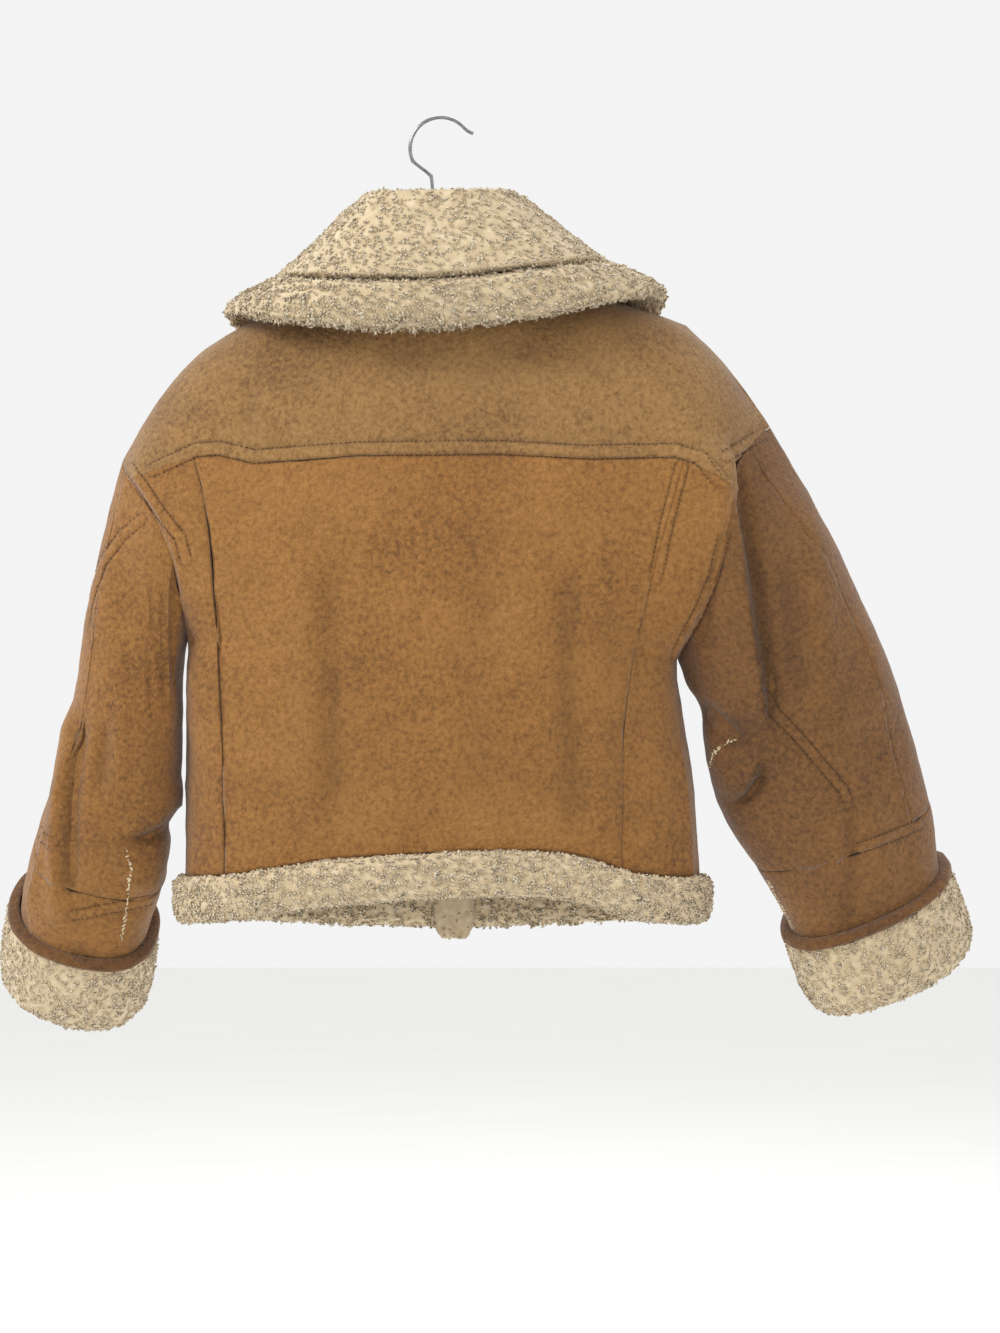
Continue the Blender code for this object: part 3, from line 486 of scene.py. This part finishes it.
def dress(piece, node):
    refine_bands(piece)
    points, normals = read_points(piece)
    out = away_from_middle(points, node)
    outer = np.einsum("ij,ij->i", out, normals) > 0
    back, back_shade = relief(points, "back")
    front, front_shade = relief(points, "front")
    turn = np.clip(0.5 - out[:, 1] / BACK_TO_FRONT, 0, 1)
    lift = back * turn + front * (1 - turn)
    shade = back_shade * turn + front_shade * (1 - turn)
    lift = np.where(outer, lift, 0)
    shade = np.where(outer, shade, WOOL_SIDE_SHADE)
    write_points(piece, points + normals * lift[:, None], shade)
    return piece


# %% Cut and place the leather panels
# Columns: node, levels, finish, flat width, flat length, area of the cut piece
PANELS = [
    ("back_yoke", 3, yoke_suede, 0.640, 0.240, 0.1109),
    ("back_panel", 3, body_suede, 0.455, 0.400, 0.1499),
    ("back_side_left", 3, body_suede, 0.115, 0.400, 0.0264),
    ("back_side_right", 3, body_suede, 0.120, 0.395, 0.0331),
    ("front_left", 2, body_suede, 0.330, 0.585, 0.1581),
    ("front_right", 2, body_suede, 0.325, 0.585, 0.1498),
    ("sleeve_top_left", 2, body_suede, 0.215, 0.400, 0.0578),
    ("sleeve_under_left", 3, body_suede, 0.215, 0.410, 0.0616),
    ("sleeve_lower_left", 2, body_suede, 0.330, 0.185, 0.0500),
    ("sleeve_top_right", 2, shaded_right_suede, 0.270, 0.410, 0.0804),
    ("sleeve_under_right", 3, shaded_right_suede, 0.255, 0.410, 0.0762),
    ("sleeve_lower_right", 2, shaded_right_suede, 0.350, 0.190, 0.0568),
    ("cuff_binding_left", 2, binding_suede, 0.400, 0.030, 0.0080),
    ("cuff_binding_right", 2, binding_suede, 0.420, 0.030, 0.0084),
]
leather = {}
for node, levels, finish, wide, long, area in PANELS:
    piece = dress(smoother(node, levels), node)
    piece.data.materials.append(finish)
    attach(piece, "root")
    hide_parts(node)
    leather[node] = (piece, wide, long, area)
print("panels:", len(leather), "faces:", sum(len(p[0].data.polygons) for p in leather.values()))

# %% [markdown]
# Pile is too fine to model hair by hair. A lock is a small hook of wool: three-sided, thick at the
# root and thin at its curled tip. Thousands are planted over a rounded base, in clumps that lean
# together, so that darker cracks open between the curls as they do on real shearling. The base in
# the cracks is painted darker too, as shade.

# %% Plant locks of wool on a base
# Columns: out, along the lean, sideways, half thickness of each ring of a lock; the tip is a point
LOCK_RINGS = [(-0.15, 0.0, 0.0, 1.0), (0.42, 0.24, 0.14, 1.1), (0.36, 0.74, -0.10, 0.0)]
LOCK_PAINTED_SHADE = [0.8, 0.8, 0.8, 0.96, 0.96, 0.96, 1.05]     # from the root's three points to the tip: painted shade at the root, lighter at the tip
LOCK_POINTS = len(LOCK_PAINTED_SHADE)
BASE_SINK = 1.2            # mm that the base lies below the solid, to leave room for the locks
# Columns: height in mm, size in mm, seed of each wobble of the base
KNOBS = [(0.7, 8, 40), (0.6, 4.5, 41)]
LEAN_SIZE = 15             # mm across the patches of locks that lean together
CLUMP_SIZE = 9             # mm across the clumps of longer locks
CLUMP_MIDDLE = 0.78        # a lock's length, as a share of the full one, in a clump of middling height


def plant(node, count, length, thick, droop, seed, longer=None):
    piece = smoother(node, 2)
    points, normals = read_points(piece)
    knobs = wobbles(points, KNOBS)
    sunk = points - normals * (BASE_SINK - knobs)[:, None]
    # The base is painted dark as shade between the locks, and lighter where its knobs stand higher.
    write_points(piece, sunk, np.clip(0.46 + 0.15 * knobs, 0, 1))
    mesh = piece.data
    mesh.calc_loop_triangles()
    corners = np.array([t.vertices[:] for t in mesh.loop_triangles])
    points, normals = read_points(piece)
    a, b, c = (points[corners[:, k]] for k in range(3))
    area = np.linalg.norm(np.cross(b - a, c - a), axis=1)
    draw = np.random.default_rng(PILE_SEED + seed)
    pick = draw.choice(len(corners), count, p=area / area.sum())
    u, v = draw.random(count), draw.random(count)
    flip = u + v > 1
    u, v = np.where(flip, 1 - u, u), np.where(flip, 1 - v, v)
    root = a[pick] + u[:, None] * (b - a)[pick] + v[:, None] * (c - a)[pick]
    up = np.cross((b - a)[pick], (c - a)[pick])
    up /= np.linalg.norm(up, axis=1)[:, None]
    lean = np.stack([wobble(root, LEAN_SIZE, 20 + k) for k in range(3)], axis=1)
    lean = lean + 0.45 * draw.normal(size=(count, 3))
    lean[:, 2] -= droop
    lean -= up * np.einsum("ij,ij->i", lean, up)[:, None]
    lean /= np.linalg.norm(lean, axis=1)[:, None] + 1e-6
    clump = CLUMP_MIDDLE + 0.30 * wobble(root, CLUMP_SIZE, 31)
    reach = length * np.clip(clump, 0.35, 1.25) * draw.uniform(0.8, 1.2, count)
    if longer is not None:
        reach = reach * longer(root)
    sideways = np.cross(up, lean)
    verts = []
    for out, along, aside, fat in LOCK_RINGS:
        middle = root + reach[:, None] * (up * out + lean * along + sideways * aside)
        if fat == 0:
            verts.append(middle)
            continue
        for k in range(3):
            turn = 2 * math.pi * k / 3
            corner = lean * math.cos(turn) * 0.8 + sideways * math.sin(turn)
            verts.append(middle + thick * fat * corner)
    made = np.stack(verts, axis=1).reshape(-1, 3)
    starts = (np.arange(count) * LOCK_POINTS)[:, None, None]
    sides = np.array([(k, (k + 1) % 3, 3 + (k + 1) % 3, 3 + k) for k in range(3)])
    ends = np.array([(2, 1, 0)] + [(3 + k, 3 + (k + 1) % 3, 6) for k in range(3)])
    faces = (sides[None] + starts).reshape(-1, 4).tolist()
    faces += (ends[None] + starts).reshape(-1, 3).tolist()
    lock_mesh = bpy.data.meshes.new(node + "_locks")
    lock_mesh.from_pydata(made * MM, [], faces)
    locks = bpy.data.objects.new(node + "_locks", lock_mesh)
    bpy.context.scene.collection.objects.link(locks)
    uneven = draw.normal(scale=0.10, size=count)
    tone = np.clip(0.62 + 0.6 * (clump - CLUMP_MIDDLE) + uneven, 0.15, 1.0)
    tones = (tone[:, None] * np.array(LOCK_PAINTED_SHADE)[None]).reshape(-1)
    write_points(locks, made, tones)
    for face in lock_mesh.polygons:
        face.use_smooth = True
    deselect()
    piece.select_set(True)
    locks.select_set(True)
    bpy.context.view_layer.objects.active = piece
    bpy.ops.object.join()
    piece.data.materials.append(cream_pile)
    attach(piece, "root")
    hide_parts(node)
    return piece


LONGER_OVER = 18           # mm below the level over which locks grow to their full length


def longer_below(level, gain):
    return lambda root: 1 + gain * np.clip((level - root[:, 2]) / LONGER_OVER, 0, 1)


# Columns: node, locks, length, half thickness, droop, longer towards the lower edge
PILE_PIECES = [
    ("collar_body", 11800, 4.6, 1.45, 0.4, None),
    ("collar_edge", 8600, 5.6, 1.35, 0.9, longer_below(-190, 0.8)),
    ("hem_back", 6800, 4.6, 1.4, 0.5, longer_below(-735, 0.3)),
    ("hem_front_left", 2500, 4.8, 1.4, 0.5, longer_below(-745, 0.3)),
    ("hem_front_right", 2500, 4.8, 1.4, 0.5, longer_below(-745, 0.3)),
    ("cuff_left", 5600, 4.4, 1.45, 0.3, None),
    ("cuff_right", 5900, 4.4, 1.45, 0.3, None),
    ("wind_flap", 700, 3.6, 1.4, 0.4, None),
]
wool = {}
for number, (node, count, length, thick, droop, longer) in enumerate(PILE_PIECES):
    wool[node] = plant(node, count, length, thick, droop, number, longer)
print("pile pieces:", len(wool), "faces:", sum(len(p.data.polygons) for p in wool.values()))

# %% [markdown]
# Stitches are short bars of thread along both sides of a felled seam. Each one is dropped onto the
# leather from the side of the back, so it lies on the surface that carries it.

# %% Stitches and the raw pile edges
STITCH_SPACING = 4.2       # mm, as are the sizes below
STITCH_OUT = 0.4           # from the seam's edge to the row of stitches
STITCH_RISE = 0.15         # above the leather
STITCH_SIZE = (1.4, 0.45)  # half length, half width
TUFT_SPACING = 1.6
TUFT_SCATTER = 0.5
TUFT_RISE = 0.4
TUFT_SIZE = (2.2, 1.1)
surface_points = []
surface_faces = []
for piece, *_ in leather.values():
    start = len(surface_points)
    surface_points += [v.co.copy() for v in piece.data.vertices]
    surface_faces += [[n + start for n in p.vertices] for p in piece.data.polygons]
surface = BVHTree.FromPolygons(surface_points, surface_faces)


def drop_on(x, z):
    """The leather's place and normal there, seen square from the back, or None beside it."""
    place, normal, *_ = surface.ray_cast(Vector((x * MM, -1.0, z * MM)), Vector((0, 1, 0)))
    return (np.array(place) / MM, np.array(normal)) if place is not None else None


def walk(line, spacing):
    """Places along a line, that far apart, with its direction there."""
    for first, second in zip(line[:-1], line[1:]):
        a, b = np.array(first, float), np.array(second, float)
        steps = max(1, int(np.linalg.norm(b - a) / spacing))
        for k in range(steps):
            yield a + (b - a) * k / steps, (b - a) / np.linalg.norm(b - a)


def bars(name, places, finish):
    """One mesh of four-sided bars: places are (centre, along, out, half length, half width)."""
    verts, faces = [], []
    for centre, along, out, half, fat in places:
        side = np.cross(along, out)
        start = len(verts)
        for shift, size in ((-1, 0.5), (0, 1.0), (1, 0.5)):
            for k in range(4):
                turn = 2 * math.pi * k / 4
                verts.append(centre + along * half * shift
                             + fat * size * (side * math.cos(turn) + out * math.sin(turn)))
        for ring in (0, 4):
            for k in range(4):
                m = (k + 1) % 4
                low, high = start + ring, start + ring + 4
                faces.append([low + k, low + m, high + m, high + k])
        faces.append([start + k for k in reversed(range(4))])
        faces.append([start + 8 + k for k in range(4)])
    mesh = bpy.data.meshes.new(name)
    mesh.from_pydata([tuple(p * MM) for p in verts], [], faces)
    piece = bpy.data.objects.new(name, mesh)
    bpy.context.scene.collection.objects.link(piece)
    built = bmesh.new()
    built.from_mesh(mesh)
    bmesh.ops.recalc_face_normals(built, faces=built.faces)
    built.to_mesh(mesh)
    built.free()
    mesh.materials.append(finish)
    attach(piece, "root")
    return piece


stitches = []
for side, kind, high, half, line in RELIEF:
    if kind != "band":
        continue
    for place, way in walk(line, STITCH_SPACING):
        for edge in (-1, 1):
            dropped = drop_on(*(place + np.array([-way[1], way[0]]) * edge * (half + STITCH_OUT)))
            if dropped is None:
                continue
            spot, normal = dropped
            along = np.array([way[0], 0, way[1]])
            along -= normal * along.dot(normal)
            along /= np.linalg.norm(along)
            stitches.append((spot + normal * STITCH_RISE, along, normal, *STITCH_SIZE))
seam_stitches = bars("seam_stitches", stitches, thread)

RAW_EDGES = [
    [(-294, -690), (-290, -707), (-294, -732), (-299, -757), (-304, -780)],
    [(276, -587), (263, -594), (256, -603), (254, -616)],
    [(311, -722), (338, -770)],
]
draw = np.random.default_rng(PILE_SEED)
tufts = []
for line in RAW_EDGES:
    for place, way in walk(line, TUFT_SPACING):
        dropped = drop_on(*(place + draw.normal(scale=TUFT_SCATTER, size=2)))
        if dropped is not None:
            spot, normal = dropped
            along = normal + 0.8 * draw.normal(size=3)
            along /= np.linalg.norm(along)
            tufts.append((spot + normal * TUFT_RISE, along, normal, *TUFT_SIZE))
bars("raw_pile_edges", tufts, cream_edge)
print("stitches:", len(stitches), "tufts:", len(tufts))

# %% [markdown]
# The hanger's hook is drawn wire, its bar is plain wood, and the zip is a tape with brass teeth.
# Their solids are right, so they only need rounding, and teeth that alternate down the tape.

# %% Hanger and zip
# Columns: node, levels, rim angle, finish, slot
HARDWARE = [
    ("hanger_hook", 2, RIM_ANGLE, steel, "hook_steel"),
    ("hanger_bar", 2, RIM_ANGLE, beech, "hanger_wood"),
    ("zip", 1, RIM_ANGLE, cotton_tape, "zip_tape"),
    ("zip_slider", 3, NO_RIM, brass, "zip_metal"),
    ("zip_pull", 3, NO_RIM, binding_suede, "binding_leather"),
]
hardware = {}
for node, levels, rim_angle, finish, slot_name in HARDWARE:
    piece = smoother(node, levels, rim_angle)
    points, normals = read_points(piece)
    write_points(piece, points, np.ones(len(points)))
    piece.data.materials.append(finish)
    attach(piece, "root")
    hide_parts(node)
    hardware[node] = piece

tape = BVHTree.FromPolygons([v.co for v in hardware["zip"].data.vertices],
                            [p.vertices[:] for p in hardware["zip"].data.polygons])
ZIP_X = 9.0                # mm, as are the sizes below
TEETH_TOP = -222
TEETH_LENGTH = 500
TOOTH_PITCH = 2.6
TOOTH_ASIDE = 1.1          # alternate teeth stand this far to the left and right
TOOTH_RISE = 0.2
TOOTH_SIZE = (2.2, 0.8)    # half length, half width
ACROSS = np.array([1.0, 0, 0])
teeth = []
for k in range(int(TEETH_LENGTH / TOOTH_PITCH)):
    z = TEETH_TOP - k * TOOTH_PITCH
    x = ZIP_X + (TOOTH_ASIDE if k % 2 else -TOOTH_ASIDE)
    place, normal, *_ = tape.ray_cast(Vector((x * MM, 1.0, z * MM)), Vector((0, -1, 0)))
    if place is not None:
        out = np.array(normal)
        teeth.append((np.array(place) / MM + out * TOOTH_RISE, ACROSS, out, *TOOTH_SIZE))
zip_teeth = bars("zip_teeth", teeth, brass)
print("teeth:", len(teeth))

# %% [markdown]
# Each leather piece's row keeps the size it was cut to. The stitches lie on several pieces, and the
# yoke's lower seam carries the longest rows.

# %% [markdown]
# The picture is taken square to the back, level with the middle of the jacket. The floor lies well
# below the hem, since the jacket hangs, and broad soft lights leave only gentle shadows.

# %% Floor, light and camera
AIM = Vector((0.0559, 0.0, -0.519))
DISTANCE = 2.68
VIEW_HEIGHT = 1.2637      # metres that the picture's height takes in, at the jacket's middle
FILM = 36.0
FLOOR_SIZE = 14            # metres
FLOOR_LEVEL = -1.55        # metres
ROOM_LIGHT = 0.90

deselect()
bpy.ops.mesh.primitive_plane_add(size=FLOOR_SIZE, location=(0, 0, FLOOR_LEVEL))
floor = bpy.context.object
floor.name = "studio_floor"
floor_finish = plain_finish("matt white studio floor", "#f4f4f2", "#f6f6f4", 3.0, 0.0,
                            Roughness=0.95)
floor.data.materials.append(floor_finish)
floor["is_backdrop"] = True

world = bpy.data.worlds.new("soft white room")
bpy.context.scene.world = world
bpy.context.scene.view_settings.view_transform = "Standard"
world.use_nodes = True
world.node_tree.nodes["Background"].inputs["Color"].default_value = (1, 1, 1, 1)
world.node_tree.nodes["Background"].inputs["Strength"].default_value = ROOM_LIGHT

# Columns: name, place, size, power
LIGHTS = [
    ("key", (-2.3, -1.5, 1.7), 1.2, 52),
    ("fill", (2.2, -2.0, 0.4), 2.2, 5),
    ("rear", (0.6, 2.6, 1.4), 2.0, 26),
]
for name, place, size, power in LIGHTS:
    lamp = bpy.data.lights.new(name, "AREA")
    lamp.size = size
    lamp.energy = power
    holder = bpy.data.objects.new(name, lamp)
    holder.location = place
    holder.rotation_euler = (AIM - Vector(place)).to_track_quat("-Z", "Y").to_euler()
    bpy.context.scene.collection.objects.link(holder)

lens = bpy.data.cameras.new("photo_view")
lens.sensor_width = FILM
lens.lens = FILM * DISTANCE / VIEW_HEIGHT
camera = bpy.data.objects.new("photo_view", lens)
camera.location = AIM + Vector((0, -DISTANCE, 0))
camera.rotation_euler = (math.pi / 2, 0, 0)
bpy.context.scene.collection.objects.link(camera)
bpy.context.scene.camera = camera

# %% Sizes and finish
made = [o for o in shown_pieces() if o.type == "MESH"]
triangles = {o.name: sum(len(f.vertices) - 2 for f in o.data.polygons) for o in made}
print("triangles in all:", sum(triangles.values()), "largest:", max(triangles.values()))
